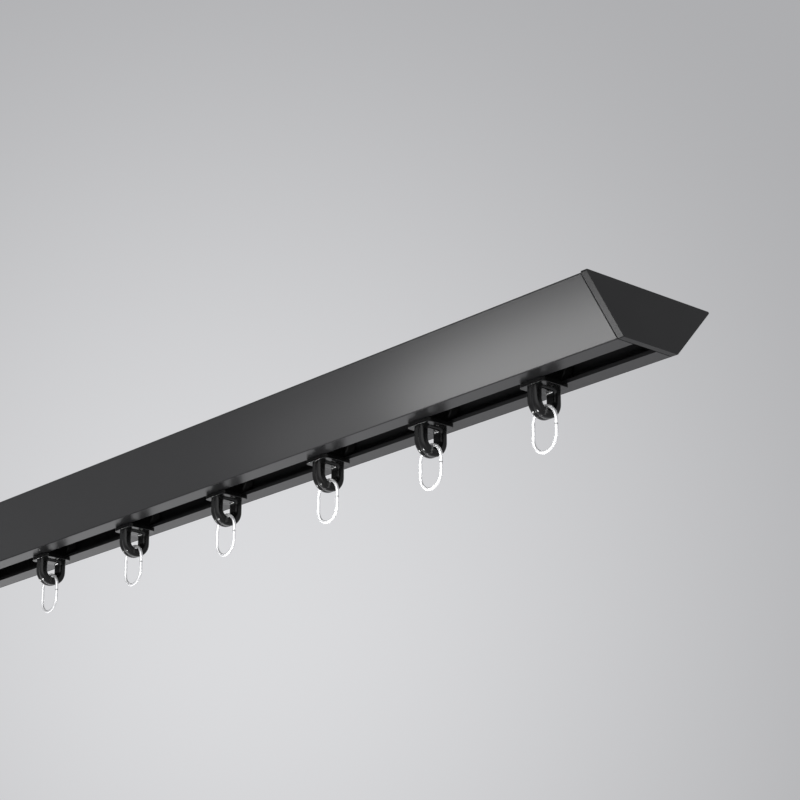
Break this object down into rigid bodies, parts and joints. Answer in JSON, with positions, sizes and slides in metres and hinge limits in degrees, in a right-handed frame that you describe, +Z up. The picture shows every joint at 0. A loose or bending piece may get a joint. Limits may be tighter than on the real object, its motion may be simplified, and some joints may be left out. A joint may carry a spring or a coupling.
{
  "type": "curtain track",
  "caption": "Ceiling curtain track of inverted trapezoid section with end caps and rolling runners, each carrying an oval wire ring for a curtain hook.",
  "frame": {"origin": "middle of the ceiling face: half way along the track and above the middle of its slot", "axes": "+X along the track towards the end cap that the picture shows, +Z up into the ceiling, -Y towards the side that the picture shows"},
  "size_m": [0.5, 0.0612, 0.0461],
  "materials": {
    "track": "satin black coating",
    "caps": "satin black",
    "runners": "semi-gloss black",
    "wheels": "matt black",
    "axles": "turned",
    "rings": "polished nickel-chrome plating"
  },
  "bodies": {
    "track": {"track_profile": "track", "end_cap_right": "caps", "end_cap_left": "caps"},
    "runner_1": {"runner_body_1": "runners", "axle_1": "axles"},
    "front_wheel_1": {"front_wheel_1": "wheels"},
    "back_wheel_1": {"back_wheel_1": "wheels"},
    "ring_1": {"ring_1": "rings"},
    "runner_2": {"runner_body_2": "runners", "axle_2": "axles"},
    "front_wheel_2": {"front_wheel_2": "wheels"},
    "back_wheel_2": {"back_wheel_2": "wheels"},
    "ring_2": {"ring_2": "rings"},
    "runner_3": {"runner_body_3": "runners", "axle_3": "axles"},
    "front_wheel_3": {"front_wheel_3": "wheels"},
    "back_wheel_3": {"back_wheel_3": "wheels"},
    "ring_3": {"ring_3": "rings"},
    "runner_4": {"runner_body_4": "runners", "axle_4": "axles"},
    "front_wheel_4": {"front_wheel_4": "wheels"},
    "back_wheel_4": {"back_wheel_4": "wheels"},
    "ring_4": {"ring_4": "rings"},
    "runner_5": {"runner_body_5": "runners", "axle_5": "axles"},
    "front_wheel_5": {"front_wheel_5": "wheels"},
    "back_wheel_5": {"back_wheel_5": "wheels"},
    "ring_5": {"ring_5": "rings"},
    "runner_6": {"runner_body_6": "runners", "axle_6": "axles"},
    "front_wheel_6": {"front_wheel_6": "wheels"},
    "back_wheel_6": {"back_wheel_6": "wheels"},
    "ring_6": {"ring_6": "rings"},
    "runner_7": {"runner_body_7": "runners", "axle_7": "axles"},
    "front_wheel_7": {"front_wheel_7": "wheels"},
    "back_wheel_7": {"back_wheel_7": "wheels"},
    "ring_7": {"ring_7": "rings"}
  },
  "joints": [
    {"name": "runner_1_slide", "type": "slide", "parent": "track", "child": "runner_1", "axis": [1, 0, 0], "range_m": [-0.046, 0.0431]},
    {"name": "front_wheel_1_spin", "type": "hinge", "parent": "runner_1", "child": "front_wheel_1", "pos_m": [0.1984, 0, -0.01345], "axis": [0, 1, 0], "continuous": true},
    {"name": "back_wheel_1_spin", "type": "hinge", "parent": "runner_1", "child": "back_wheel_1", "pos_m": [0.1984, 0, -0.01345], "axis": [0, 1, 0], "continuous": true},
    {"name": "ring_1_swing", "type": "hinge", "parent": "runner_1", "child": "ring_1", "pos_m": [0.1984, 0, -0.03428], "axis": [0, 1, 0], "range_deg": [-150, 150]},
    {"name": "runner_2_slide", "type": "slide", "parent": "track", "child": "runner_2", "axis": [1, 0, 0], "range_m": [-0.046, 0.046]},
    {"name": "front_wheel_2_spin", "type": "hinge", "parent": "runner_2", "child": "front_wheel_2", "pos_m": [0.1384, 0, -0.01345], "axis": [0, 1, 0], "continuous": true},
    {"name": "back_wheel_2_spin", "type": "hinge", "parent": "runner_2", "child": "back_wheel_2", "pos_m": [0.1384, 0, -0.01345], "axis": [0, 1, 0], "continuous": true},
    {"name": "ring_2_swing", "type": "hinge", "parent": "runner_2", "child": "ring_2", "pos_m": [0.1384, 0, -0.03428], "axis": [0, 1, 0], "range_deg": [-150, 150]},
    {"name": "runner_3_slide", "type": "slide", "parent": "track", "child": "runner_3", "axis": [1, 0, 0], "range_m": [-0.052, 0.046]},
    {"name": "front_wheel_3_spin", "type": "hinge", "parent": "runner_3", "child": "front_wheel_3", "pos_m": [0.0784, 0, -0.01345], "axis": [0, 1, 0], "continuous": true},
    {"name": "back_wheel_3_spin", "type": "hinge", "parent": "runner_3", "child": "back_wheel_3", "pos_m": [0.0784, 0, -0.01345], "axis": [0, 1, 0], "continuous": true},
    {"name": "ring_3_swing", "type": "hinge", "parent": "runner_3", "child": "ring_3", "pos_m": [0.0784, 0, -0.03428], "axis": [0, 1, 0], "range_deg": [-150, 150]},
    {"name": "runner_4_slide", "type": "slide", "parent": "track", "child": "runner_4", "axis": [1, 0, 0], "range_m": [-0.052, 0.052]},
    {"name": "front_wheel_4_spin", "type": "hinge", "parent": "runner_4", "child": "front_wheel_4", "pos_m": [0.0124, 0, -0.01345], "axis": [0, 1, 0], "continuous": true},
    {"name": "back_wheel_4_spin", "type": "hinge", "parent": "runner_4", "child": "back_wheel_4", "pos_m": [0.0124, 0, -0.01345], "axis": [0, 1, 0], "continuous": true},
    {"name": "ring_4_swing", "type": "hinge", "parent": "runner_4", "child": "ring_4", "pos_m": [0.0124, 0, -0.03428], "axis": [0, 1, 0], "range_deg": [-150, 150]},
    {"name": "runner_5_slide", "type": "slide", "parent": "track", "child": "runner_5", "axis": [1, 0, 0], "range_m": [-0.052, 0.052]},
    {"name": "front_wheel_5_spin", "type": "hinge", "parent": "runner_5", "child": "front_wheel_5", "pos_m": [-0.0536, 0, -0.01345], "axis": [0, 1, 0], "continuous": true},
    {"name": "back_wheel_5_spin", "type": "hinge", "parent": "runner_5", "child": "back_wheel_5", "pos_m": [-0.0536, 0, -0.01345], "axis": [0, 1, 0], "continuous": true},
    {"name": "ring_5_swing", "type": "hinge", "parent": "runner_5", "child": "ring_5", "pos_m": [-0.0536, 0, -0.03428], "axis": [0, 1, 0], "range_deg": [-150, 150]},
    {"name": "runner_6_slide", "type": "slide", "parent": "track", "child": "runner_6", "axis": [1, 0, 0], "range_m": [-0.052, 0.052]},
    {"name": "front_wheel_6_spin", "type": "hinge", "parent": "runner_6", "child": "front_wheel_6", "pos_m": [-0.1196, 0, -0.01345], "axis": [0, 1, 0], "continuous": true},
    {"name": "back_wheel_6_spin", "type": "hinge", "parent": "runner_6", "child": "back_wheel_6", "pos_m": [-0.1196, 0, -0.01345], "axis": [0, 1, 0], "continuous": true},
    {"name": "ring_6_swing", "type": "hinge", "parent": "runner_6", "child": "ring_6", "pos_m": [-0.1196, 0, -0.03428], "axis": [0, 1, 0], "range_deg": [-150, 150]},
    {"name": "runner_7_slide", "type": "slide", "parent": "track", "child": "runner_7", "axis": [1, 0, 0], "range_m": [-0.0559, 0.052]},
    {"name": "front_wheel_7_spin", "type": "hinge", "parent": "runner_7", "child": "front_wheel_7", "pos_m": [-0.1856, 0, -0.01345], "axis": [0, 1, 0], "continuous": true},
    {"name": "back_wheel_7_spin", "type": "hinge", "parent": "runner_7", "child": "back_wheel_7", "pos_m": [-0.1856, 0, -0.01345], "axis": [0, 1, 0], "continuous": true},
    {"name": "ring_7_swing", "type": "hinge", "parent": "runner_7", "child": "ring_7", "pos_m": [-0.1856, 0, -0.03428], "axis": [0, 1, 0], "range_deg": [-150, 150]}
  ],
  "couplings": [
    {"joint": "front_wheel_1_spin", "follows": "runner_1_slide", "rad_per_m": 200},
    {"joint": "back_wheel_1_spin", "follows": "runner_1_slide", "rad_per_m": 200},
    {"joint": "front_wheel_2_spin", "follows": "runner_2_slide", "rad_per_m": 200},
    {"joint": "back_wheel_2_spin", "follows": "runner_2_slide", "rad_per_m": 200},
    {"joint": "front_wheel_3_spin", "follows": "runner_3_slide", "rad_per_m": 200},
    {"joint": "back_wheel_3_spin", "follows": "runner_3_slide", "rad_per_m": 200},
    {"joint": "front_wheel_4_spin", "follows": "runner_4_slide", "rad_per_m": 200},
    {"joint": "back_wheel_4_spin", "follows": "runner_4_slide", "rad_per_m": 200},
    {"joint": "front_wheel_5_spin", "follows": "runner_5_slide", "rad_per_m": 200},
    {"joint": "back_wheel_5_spin", "follows": "runner_5_slide", "rad_per_m": 200},
    {"joint": "front_wheel_6_spin", "follows": "runner_6_slide", "rad_per_m": 200},
    {"joint": "back_wheel_6_spin", "follows": "runner_6_slide", "rad_per_m": 200},
    {"joint": "front_wheel_7_spin", "follows": "runner_7_slide", "rad_per_m": 200},
    {"joint": "back_wheel_7_spin", "follows": "runner_7_slide", "rad_per_m": 200}
  ]
}
